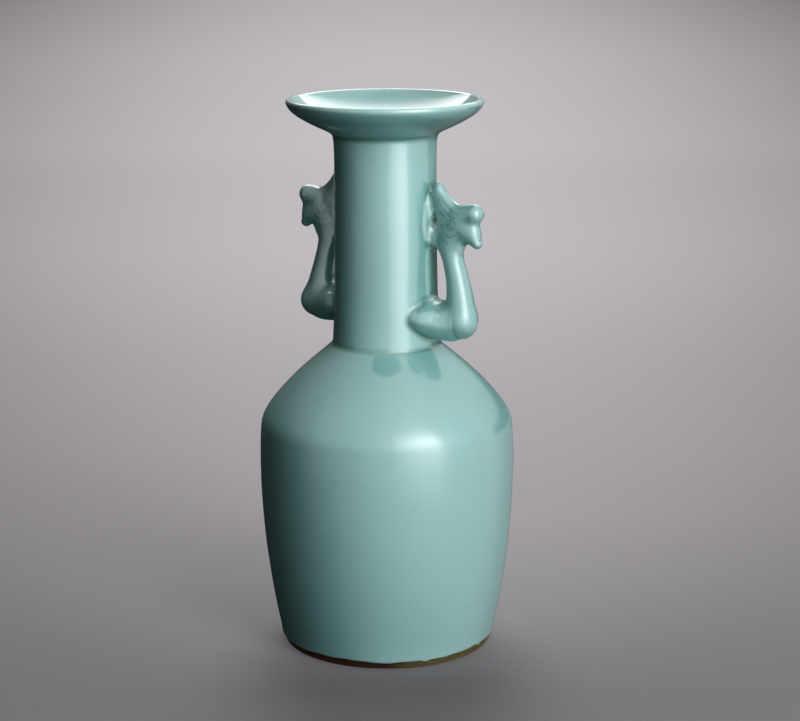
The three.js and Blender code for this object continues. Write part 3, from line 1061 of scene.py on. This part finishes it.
class HandleForm:
    """The clay of one handle as a field: negative inside, zero on the skin."""

    def __init__(self, form, neck_profile):
        self.form = form
        self.neck_z = neck_profile[:, 1]
        self.neck_r = neck_profile[:, 0]
        slope = np.gradient(self.neck_r, self.neck_z)
        self.lean = 1 / np.sqrt(1 + slope ** 2)
        shift, lift = form["head_shift"], form["head_lift"]
        nape, drop = lift - form["nape_drop"], lift - form["crest_drop"]
        reach = form["elbow_reach"]
        bent_stem = [(a + form["stem_shift"] + reach * max(0.0, 1 - b / ELBOW_RISE), b, c, d)
                     for a, b, c, d in STEM]
        long_lug = [(a + reach * max(0.0, a) / LUG[0][0], b + form["lug_lift"], c, d)
                    for a, b, c, d in LUG]
        self.outline = closed_run(moved(HEAD_OUTLINE, 0.0, nape))
        self.eyelet, = moved([EYELET], 0.0, nape)
        self.cheek, = moved([CHEEK], shift, lift)
        self.feathers = [smooth_run(moved(line, shift, nape), 6) for line in FEATHERS]
        self.limbs = {name: smooth_run(stations) for name, stations in (
            ("crest", moved(CREST, 0.0, drop)), ("beak", moved(BEAK, shift, lift)),
            ("knob", moved(KNOB, shift, lift)), ("stem", bent_stem), ("strip", LUTE_STRIP),
            ("lug", long_lug))}

    def head(self, x, y, z):
        flat = plate_distance(self.outline, x, z)
        edge = flat + PLATE_ROUND
        side = np.abs(y) - (PLATE_HALF - PLATE_ROUND) + 0 * x
        plate = np.minimum(np.maximum(edge, side), 0) + np.hypot(
            np.maximum(edge, 0), np.maximum(side, 0)) - PLATE_ROUND
        cx, cz, rx, rz, ry = self.cheek
        k = np.sqrt(((x - cx) / rx) ** 2 + (y / ry) ** 2 + ((z - cz) / rz) ** 2)
        cheek = (k - 1) * CHEEK_FALL
        field = melted(plate, cheek, MELT["cheek"])
        return self.with_limbs(field, ("crest", "beak", "knob"), x, y, z)

    def with_limbs(self, field, names, x, y, z):
        for name in names:
            field = melted(field, limb_field(self.limbs[name], x, y, z), MELT[name])
        return field

    def clay(self, x, y, z):
        """The handle alone, in stand-off and rise."""
        field = self.with_limbs(self.head(x, y, z), ("stem", "strip"), x, y, z)
        ex, ez, ea, eb = self.eyelet
        k = np.sqrt(((x - ex) / ea) ** 2 + ((z - ez) / eb) ** 2)
        hole = (1 - k) * ea + 0 * y
        field = -melted(-field, -hole, MELT["eyelet"])
        lug = limb_field(self.limbs["lug"], x, y, z, LUG_POWER)
        field = melted_smoothly(field, lug, MELT["lug"])
        groove = 0.0
        for line in self.feathers:
            d, _ = nearest_on(line, x, z)
            groove = groove + np.exp(-(d / GROOVE_WIDTH) ** 2)
        facing = smooth_between(np.abs(y), 1.6, 2.6)
        return field + np.minimum(groove, 1.0) * facing * sizes().groove_depth / MM

    def neck(self, x, y, z):
        angle = np.arctan2(y, x) + math.radians(self.form["turn"])
        radius = np.interp(z, self.neck_z, self.neck_r) + unevenness(angle, z)
        return (np.hypot(x, y) - radius) * np.interp(z, self.neck_z, self.lean) + GLAZE_SINK

    def fields(self, x, y, z):
        """The handle's clay and the clay melted into the neck's skin, in the vase's heights."""
        clay = self.clay(x - HANDLE_STAND, y, z - HANDLE_BASE)
        return clay, melted_smoothly(clay, self.neck(x, y, z), sizes().handle_blend / MM)

    def skin(self, p):
        return self.fields(p[:, 0], p[:, 1], p[:, 2])[1]


def slopes(field, p, reach):
    """The field's gradient by small steps to both sides."""
    out = np.empty_like(p)
    for k in range(3):
        step = np.zeros(3)
        step[k] = reach
        out[:, k] = (field(p + step) - field(p - step)) / (2 * reach)
    return out


def net_of(values, low, cell):
    """Points and quads of the zero level of a field on a grid, one point in each crossed cell."""
    inside = values < 0
    shape = np.array(values.shape) - 1
    corners = [(i, j, k) for i in (0, 1) for j in (0, 1) for k in (0, 1)]

    def at(array, c):
        return array[c[0]:c[0] + shape[0], c[1]:c[1] + shape[1], c[2]:c[2] + shape[2]]

    total = sum(at(inside, c).astype(np.int8) for c in corners)
    live = (total > 0) & (total < 8)
    cells = np.argwhere(live)
    number = np.full(shape, -1, np.int64)
    number[tuple(cells.T)] = np.arange(len(cells))
    place = np.zeros((len(cells), 3))
    weight = np.zeros(len(cells))
    for a in corners:
        for axis in range(3):
            if a[axis]:
                continue
            b = tuple(v + (k == axis) for k, v in enumerate(a))
            va, vb = at(values, a)[live], at(values, b)[live]
            cut = (va < 0) != (vb < 0)
            t = np.where(cut, va / np.where(cut, va - vb, 1.0), 0.0)
            spot = np.tile(np.array(a, float), (len(cells), 1))
            spot[:, axis] += t
            place += spot * cut[:, None]
            weight += cut
    points = low + (cells + place / weight[:, None]) * cell
    quads = []
    for axis in range(3):
        first = [slice(1, -1)] * 3
        first[axis] = slice(0, -1)
        then = [slice(1, -1)] * 3
        then[axis] = slice(1, None)
        a, b = inside[tuple(first)], inside[tuple(then)]
        side, up = [k for k in range(3) if k != axis]
        for crossed, forward in ((a & ~b, True), (b & ~a, False)):
            where = np.argwhere(crossed) + 1
            where[:, axis] -= 1
            ring = []
            for back in ((1, 1), (0, 1), (0, 0), (1, 0)):
                c = where.copy()
                c[:, side] -= back[0]
                c[:, up] -= back[1]
                ring.append(number[tuple(c.T)])
            quad = np.stack(ring, 1)
            flip = forward ^ (axis == 1)
            quads.append(quad if flip else quad[:, ::-1])
    return points, np.concatenate(quads)


# The room in which a handle is drawn, before it is turned to its place
HANDLE_BOX = ((15.0, -21.5, 159.0), (62.0, 21.5, 254.0))

# The handles are drawn a little darker and greener than the body
HANDLE_DARKENING = 0.09

# Steps for the handles' gradients and for their hollows
SLOPE_STEP = 0.03
HOLLOW_STEP = 0.9


def handle_skin(name):
    """The skin of one handle with its fillets, ending in the neck's glaze."""
    form = HandleForm(FORMS[name], neck_profile())
    cell = sizes().handle_cell / MM
    low = np.array(HANDLE_BOX[0])
    x, y, z = (np.arange(a, b, cell) for a, b in zip(*HANDLE_BOX))
    clay, values = form.fields(x[:, None, None], y[None, :, None], z[None, None, :])
    points, quads = net_of(values, low, cell)
    near = form.clay(points[:, 0] - HANDLE_STAND, points[:, 1], points[:, 2] - HANDLE_BASE)
    reach = sizes().handle_blend / MM
    keep = (near < reach * 1.05)[quads].any(axis=1)
    quads = quads[keep]
    used, quads = np.unique(quads, return_inverse=True)
    quads = quads.reshape(-1, 4)
    points = points[used]
    for _ in range(3):
        slope = slopes(form.skin, points, SLOPE_STEP)
        length = np.maximum((slope ** 2).sum(axis=1), 0.05)
        move = -form.skin(points)[:, None] * slope / length[:, None]
        size = np.linalg.norm(move, axis=1)[:, None]
        points = points + move * np.minimum(1.0, 0.5 * cell / np.maximum(size, 1e-9))
    slope = slopes(form.skin, points, SLOPE_STEP)
    normals = slope / np.maximum(np.linalg.norm(slope, axis=1), 1e-9)[:, None]
    bulge = -6 * form.skin(points)
    for k in range(3):
        for way in (-HOLLOW_STEP, HOLLOW_STEP):
            step = np.zeros(3)
            step[k] = way
            bulge = bulge + form.skin(points + step)
    pooling = -bulge / HOLLOW_STEP ** 2 * 0.5
    near = form.clay(points[:, 0] - HANDLE_STAND, points[:, 1], points[:, 2] - HANDLE_BASE)
    pooling = (pooling + HANDLE_DARKENING) * (1 - smooth_between(near, reach * 0.6, reach * 1.02))
    turn = math.radians(FORMS[name]["turn"])
    spin = np.array([[math.cos(turn), -math.sin(turn), 0], [math.sin(turn), math.cos(turn), 0],
                     [0, 0, 1]])
    skin = Skin()
    place = points @ spin.T
    # The handle's pooling, with the painted shade beside the handles added
    skin.add(place, normals @ spin.T, quads, pooling + painted_shade_by_handles(place))
    return skin


def neck_profile():
    """The softened outer line from the shoulder's cone to the dish, rising."""
    line = outer_profile()
    rising = np.gradient(line[:, 1]) > 0
    keep = rising & (line[:, 1] > 150) & (line[:, 1] < 272) & (line[:, 0] > 25.5)
    return line[keep]


class CELADON_OT_handles(Operator):
    """Model the two phoenix handles and melt them into the neck"""

    bl_idname = "celadon.handles"
    bl_label = "Phoenix handles"

    def execute(self, context):
        for name, piece in (("handle_right", "phoenix_right"), ("handle_left", "phoenix_left")):
            skin = handle_skin(name)
            settle(skin.piece(piece, finish_of("celadon_glaze")), name)
        return {"FINISHED"}


# The stage

# The stage's sheets are placed in a frame that faces the camera and is turned to it by this
VIEW_TURN = math.radians(33.5)

# The camera's place in that frame, its turns and its lens
CAMERA_PLACE = (0.0, -1.0981, 0.4042)
CAMERA_YAW, CAMERA_PITCH, CAMERA_ROLL = 0.006533, 0.2262, -0.004055
CAMERA_LENS = 95.94

# How far from the axis each sheet stands, and the height that the domes are drawn round
LIGHT_REACH = 1.6
ROOM_REACH = 2.2
SKY_REACH = 1.5
WINDOW_REACH = 0.5
CARD_REACH = 0.42
HIGH_CARD_REACH = 0.2
DOME_HEIGHT = 0.12
SKY_HEIGHT = 0.2
CARD_MIDDLE = 0.19

# How strong each light is
WINDOW_STRENGTH = 9.7
WALL_STRENGTH = 3.5
ROOM_STRENGTH = 0.64
WINDOW_GLEAM = 1.25
HIGH_CARD_GLEAM = 0.25
OPEN_FLOOR_GLOW = 0.076
BACKGROUND_GLOW = 0.47

# The share of its colour with which the floor lights the vase
BOUNCE_SHARE = 0.04


def glowing(name):
    """A light card whose strength is painted on its mesh."""
    material = bpy.data.materials.new(name)
    w = emptied(material)
    light = w.node("ShaderNodeEmission")
    light.inputs["Color"].default_value = (1.0, 1.0, 1.0, 1.0)
    w.join(w.node("ShaderNodeAttribute", attribute_name="glow").outputs["Fac"],
           light.inputs["Strength"])
    w.surface(light)
    return material


def sheet_of(name, points, glow, material):
    """A stage sheet from a grid of points in the camera-facing frame, metres."""
    rows, columns = points.shape[:2]
    turn = np.array(Matrix.Rotation(VIEW_TURN, 3, "Z"))
    place = points.reshape(-1, 3) @ turn.T
    i, j = np.meshgrid(np.arange(rows - 1), np.arange(columns - 1), indexing="ij")
    first = i * columns + j
    corners = [first, first + 1, first + columns + 1, first + columns]
    faces = np.stack(corners, 2).reshape(-1, 4)
    sheet = object_of(name, place, faces.tolist(), material, glow=glow.ravel())
    sheet.visible_camera = False
    return sheet


def facing(azimuth, elevation, distance, height=DOME_HEIGHT):
    """Points of a dome round the vase. Azimuth 0 is the camera's side, positive to its right."""
    a, e = np.radians(azimuth), np.radians(elevation)
    return np.stack([distance * np.cos(e) * np.sin(a), -distance * np.cos(e) * np.cos(a),
                     height + distance * np.sin(e)], -1)


def upright(azimuth, height, distance):
    """Points of an upright curved sheet round the vase."""
    a = np.radians(azimuth)
    return np.stack([distance * np.sin(a), -distance * np.cos(a), height], -1)


# How bright the room is round the vase, as its glaze mirrors it: one row for each elevation
# and one column for each azimuth, in degrees
ROOM_AZIMUTH = (-180, -144, -108, -84, -60, -36, -12, 12, 60, 84, 108, 132, 180)
ROOM = {
    -60: (0, 0, 0, 0, 0, 0.3, 1.0, 1.5, 1.9, 1.5, 0.8, 0.2, 0),
    -38: (0, 0, 0, 0, 0, 1.1, 2.3, 3.2, 3.7, 3.1, 1.7, 0.6, 0),
    -22: (0, 0, 0, 0, 0.7, 2.4, 3.7, 4.5, 5.0, 4.4, 2.7, 0.9, 0.1),
    -5: (0.1, 0, 0, 0.2, 1.9, 3.2, 4.6, 5.1, 5.2, 4.8, 3.7, 1.1, 0.2),
    18: (0.3, 0.1, 0.2, 0.8, 2.7, 3.6, 4.7, 5.2, 5.2, 4.8, 4.0, 1.8, 0.4),
    42: (0.6, 0.6, 1.4, 2.6, 3.8, 4.1, 4.6, 5.1, 5.1, 4.8, 4.6, 3.1, 0.9),
    60: (1.6, 1.7, 2.6, 3.5, 4.2, 4.6, 5.0, 5.3, 5.4, 5.4, 4.3, 2.6, 1.6),
    85: (2.8, 3.0, 3.7, 4.2, 4.7, 5.0, 5.2, 5.4, 5.6, 5.6, 4.8, 3.6, 2.8),
}


def room_glow(azimuth, elevation):
    """The room's brightness in each direction."""
    rows = np.stack([np.interp(azimuth, ROOM_AZIMUTH, row) for row in ROOM.values()])
    place = np.interp(elevation, list(ROOM), np.arange(len(ROOM)))
    low = np.minimum(place.astype(int), len(ROOM) - 2)
    share = place - low
    below = np.take_along_axis(rows, low[None], 0)[0]
    above = np.take_along_axis(rows, low[None] + 1, 0)[0]
    return ROOM_STRENGTH * (below + (above - below) * share)


class CELADON_OT_stage(Operator):
    """Set the pale floor, the soft lights and the camera"""

    bl_idname = "celadon.stage"
    bl_label = "Stage"

    def execute(self, context):
        self.floor()
        self.key_light()
        self.back_light()
        self.room_mirrored()
        self.window_mirrored()
        self.sky_mirrored()
        self.dark_cards()
        self.air(context.scene)
        self.camera(context.scene)
        context.scene.view_settings.view_transform = "Standard"
        return {"FINISHED"}

    def floor(self):
        material = bpy.data.materials.new("studio_floor")
        w = emptied(material)
        c = colours()
        seen = w.node("ShaderNodeLightPath")
        camera = seen.outputs["Is Camera Ray"]
        # The camera sees the floor in its full colour, and the vase gets little light from it
        paper = w.node("ShaderNodeBsdfDiffuse")
        w.join(w.blend(camera, shaded(c.floor, BOUNCE_SHARE), rgba(c.floor)),
               paper.inputs["Color"])
        glow = w.node("ShaderNodeAttribute", attribute_name="glow").outputs["Fac"]
        light = w.node("ShaderNodeEmission")
        light.inputs["Color"].default_value = rgba(c.backdrop)
        w.join(w.value("MULTIPLY", glow, camera), light.inputs["Strength"])
        both = w.node("ShaderNodeAddShader")
        w.join(paper.outputs[0], both.inputs[0])
        w.join(light.outputs[0], both.inputs[1])
        w.surface(both)
        reach = np.sinh(np.linspace(-4.6, 4.6, 140)) * 0.24
        across, away = np.meshgrid(reach, -reach)
        # How bright the painted pool of light is and how wide, by the distance behind the vase
        pool = np.interp(away, [-0.09, -0.04, 0.02, 0.09, 0.21, 0.37, 0.7, 1.2, 2.05, 3.6, 5.5],
                         [0, 0.03, 0.08, 0.13, 0.19, 0.22, 0.27, 0.36, 0.47, 0.45, 0.39])
        width = np.interp(away, [0, 0.2, 0.37, 0.7, 1.2, 2.05, 3.6, 5.5],
                          [0.22, 0.31, 0.4, 0.48, 0.63, 0.85, 1.12, 1.35])
        # A painted shadow before the foot: there the floor glows less, and a little more again
        # farther forward
        middle = np.exp(-(across / 0.07) ** 4)
        floor_glow_with_painted_shadow = 1 - 0.97 * middle * smooth_between(-away, -0.03, 0.04)
        floor_glow_with_painted_shadow = floor_glow_with_painted_shadow + 0.35 * middle * smooth_between(-away, 0.07, 0.12)
        glow = pool * np.exp(-((across - 0.02) / width) ** 2) + OPEN_FLOOR_GLOW * floor_glow_with_painted_shadow
        points = np.stack([across, away, np.zeros(across.shape)], -1)
        floor = sheet_of("studio_floor", points[::-1], glow[::-1], material)
        floor.visible_camera = True
        floor.visible_glossy = False

    def key_light(self):
        """A tall soft window to the camera's right, brightest in its middle."""
        azimuth, elevation = np.meshgrid(np.linspace(2.0, 50.0, 60), np.linspace(-12.0, 66.0, 60))
        across = np.interp(azimuth, [2, 10, 18, 26, 34, 42, 50],
                           [0.0, 0.27, 0.48, 0.73, 1.0, 0.8, 0.0])
        upward = np.interp(elevation, [-12, -4, 6, 16, 26, 36, 46, 56, 66],
                           [0.0, 0.3, 0.72, 1.0, 1.0, 0.88, 0.68, 0.46, 0.0])
        self.lamp("window_right", facing(azimuth, elevation, LIGHT_REACH),
                  WINDOW_STRENGTH * across * upward)

    def back_light(self):
        """The soft light of the pale wall behind, which casts a shadow before the foot that the
        floor's painted shadow deepens.
        """
        azimuth, elevation = np.meshgrid(np.linspace(-205, -155, 16), np.linspace(24, 62, 14))
        self.lamp("wall_behind", facing(azimuth, elevation, LIGHT_REACH),
                  np.full(azimuth.shape, WALL_STRENGTH))

    def room_mirrored(self):
        """The room as the glaze mirrors it: bright to the right, dark to the left."""
        azimuth, elevation = np.meshgrid(np.linspace(-180, 180, 181), np.linspace(-60, 90, 76))
        self.mirrored("room_mirrored", facing(azimuth, elevation, ROOM_REACH),
                      room_glow(azimuth, elevation))

    def window_mirrored(self):
        """The near window as the glaze mirrors it."""
        azimuth, height = np.meshgrid(np.linspace(3.0, 60.0, 115), np.linspace(-0.14, 1.0, 115))
        across = np.interp(azimuth, [3, 6.2, 8.8, 12, 15, 18, 21, 24, 26.5, 29.5, 32.5, 44, 46.5,
                                     49.3, 52, 55, 59],
                           [0, 0.07, 0.33, 0.39, 0.49, 0.58, 0.71, 0.78, 0.88, 0.94, 1, 1, 0.88,
                            0.44, 0.22, 0.08, 0])
        upward = np.interp(height, [-0.10, -0.08, -0.036, 0.015, 0.065, 0.11, 0.15, 0.19, 0.24,
                                    0.29, 0.35, 0.40, 0.44, 0.49, 0.55, 0.61, 0.69, 0.77, 0.87, 1],
                           [0, 0.05, 1.1, 1.4, 3.2, 4.1, 4.5, 5.3, 6.3, 7.0, 7.9, 8.1, 8.0, 6.7,
                            4.7, 3.3, 2.0, 1.0, 0.4, 0])
        rise = np.degrees(np.arctan2(height - DOME_HEIGHT, WINDOW_REACH))
        self.mirrored("window_mirrored", upright(azimuth, height, WINDOW_REACH),
                      room_glow(azimuth, rise) + WINDOW_GLEAM * across * upward)

    def sky_mirrored(self):
        """The pale wall behind the vase, as the bowl of the mouth mirrors it."""
        aside, elevation = np.meshgrid(np.linspace(-40, 40, 81), np.linspace(26.5, 84, 80))
        a, e = np.radians(aside), np.radians(elevation)
        middle = math.radians(35)
        apart = np.degrees(np.arccos(np.clip(
            np.sin(e) * math.sin(middle) + np.cos(e) * math.cos(middle) * np.cos(a), -1, 1)))
        glow = np.interp(apart, [0, 22, 25, 28, 32, 36, 41, 46],
                         [6.3, 6.1, 5.4, 4.5, 3.1, 2.0, 1.3, 1.1])
        room = room_glow((aside + 360) % 360 - 180, elevation)
        glow = room + (glow - room) * smooth_between(40 - np.abs(aside), 0, 5)
        self.mirrored("sky_mirrored", facing(aside + 180, elevation, SKY_REACH, SKY_HEIGHT),
                      glow)

    def dark_cards(self):
        """Grey cards to the right behind, which keep the neck beyond the handle dark."""
        azimuth, height = np.meshgrid(np.linspace(103, 186, 42), np.linspace(0.07, 0.22, 18))
        fade = smooth_between(azimuth, 103, 111) * smooth_between(186 - azimuth, 0, 10)
        fade = fade * smooth_between(height, 0.07, 0.11) * smooth_between(0.22 - height, 0, 0.03)
        rise = np.degrees(np.arctan2(height - CARD_MIDDLE, CARD_REACH))
        self.mirrored("dark_card", upright(azimuth, height, CARD_REACH),
                      room_glow((azimuth + 180) % 360 - 180, rise) * (1 - 0.96 * fade))
        # A second one above it, for the upper side of the handle's foot
        aside, height = np.meshgrid(np.linspace(0.02, 0.13, 12), np.linspace(0.215, 0.345, 14))
        points = np.stack([aside, np.full(aside.shape, HIGH_CARD_REACH), height], -1)
        self.mirrored("dark_card_high", points, np.full(aside.shape, HIGH_CARD_GLEAM))

    def lamp(self, name, points, glow):
        """A sheet that lights the vase and isn't seen in the glaze."""
        sheet = sheet_of(name, points, glow, glowing(name + "_light"))
        sheet.visible_glossy = False
        sheet.visible_shadow = False

    def mirrored(self, name, points, glow):
        """A sheet that is seen in the glaze and doesn't light the vase."""
        sheet = sheet_of(name, points, glow, glowing(name + "_gleam"))
        sheet.visible_diffuse = False
        sheet.visible_shadow = False
        sheet.visible_transmission = False

    def air(self, scene):
        """The air lights nothing, and gives the camera the background's pale tint."""
        world = bpy.data.worlds.new("studio_air")
        scene.world = world
        w = emptied(world)
        seen = w.node("ShaderNodeLightPath")
        strength = w.value("MULTIPLY", seen.outputs["Is Camera Ray"], BACKGROUND_GLOW)
        sky = w.node("ShaderNodeBackground")
        sky.inputs["Color"].default_value = rgba(colours().backdrop)
        w.join(strength, sky.inputs["Strength"])
        w.surface(sky, "ShaderNodeOutputWorld")

    def camera(self, scene):
        yaw, pitch, roll = CAMERA_YAW, CAMERA_PITCH, CAMERA_ROLL
        ahead = Vector((math.sin(yaw) * math.cos(pitch), math.cos(yaw) * math.cos(pitch),
                        -math.sin(pitch)))
        right = Vector((math.cos(yaw), -math.sin(yaw), 0.0))
        above = right.cross(ahead)
        side = right * math.cos(roll) + above * math.sin(roll)
        top = -right * math.sin(roll) + above * math.cos(roll)
        turn = Matrix.Rotation(VIEW_TURN, 3, "Z")
        axes = Matrix((turn @ side, turn @ top, turn @ -ahead)).transposed()
        data = bpy.data.cameras.new("photo_view")
        data.sensor_fit = "HORIZONTAL"
        data.sensor_width = 36.0
        data.lens = CAMERA_LENS
        camera = bpy.data.objects.new("photo_view", data)
        scene.collection.objects.link(camera)
        camera.matrix_world = Matrix.Translation(turn @ Vector(CAMERA_PLACE)) @ axes.to_4x4()
        scene.camera = camera


# Panel and run

class CELADON_PT_vase(Panel):
    """Sizes, colours and steps of the celadon vase"""

    bl_label = "Celadon vase"
    bl_space_type = "VIEW_3D"
    bl_region_type = "UI"
    bl_category = "Celadon vase"

    def draw(self, context):
        layout = self.layout
        for group in (context.scene.celadon_sizes, context.scene.celadon_colours):
            box = layout.box()
            for name in group.__annotations__:
                box.prop(group, name)
        for step in STEPS:
            layout.operator(step.bl_idname)


STEPS = (CELADON_OT_foot, CELADON_OT_sections, CELADON_OT_handles, CELADON_OT_stage)
CLASSES = (CeladonSizes, CeladonColours, *STEPS, CELADON_PT_vase)


def register():
    for cls in CLASSES:
        bpy.utils.register_class(cls)
    bpy.types.Scene.celadon_sizes = PointerProperty(type=CeladonSizes)
    bpy.types.Scene.celadon_colours = PointerProperty(type=CeladonColours)


def unregister():
    del bpy.types.Scene.celadon_colours
    del bpy.types.Scene.celadon_sizes
    for cls in reversed(CLASSES):
        bpy.utils.unregister_class(cls)


def main():
    register()
    bpy.ops.celadon.foot()
    bpy.ops.celadon.sections()
    bpy.ops.celadon.handles()
    bpy.ops.celadon.stage()


if __name__ == "__main__":
    main()
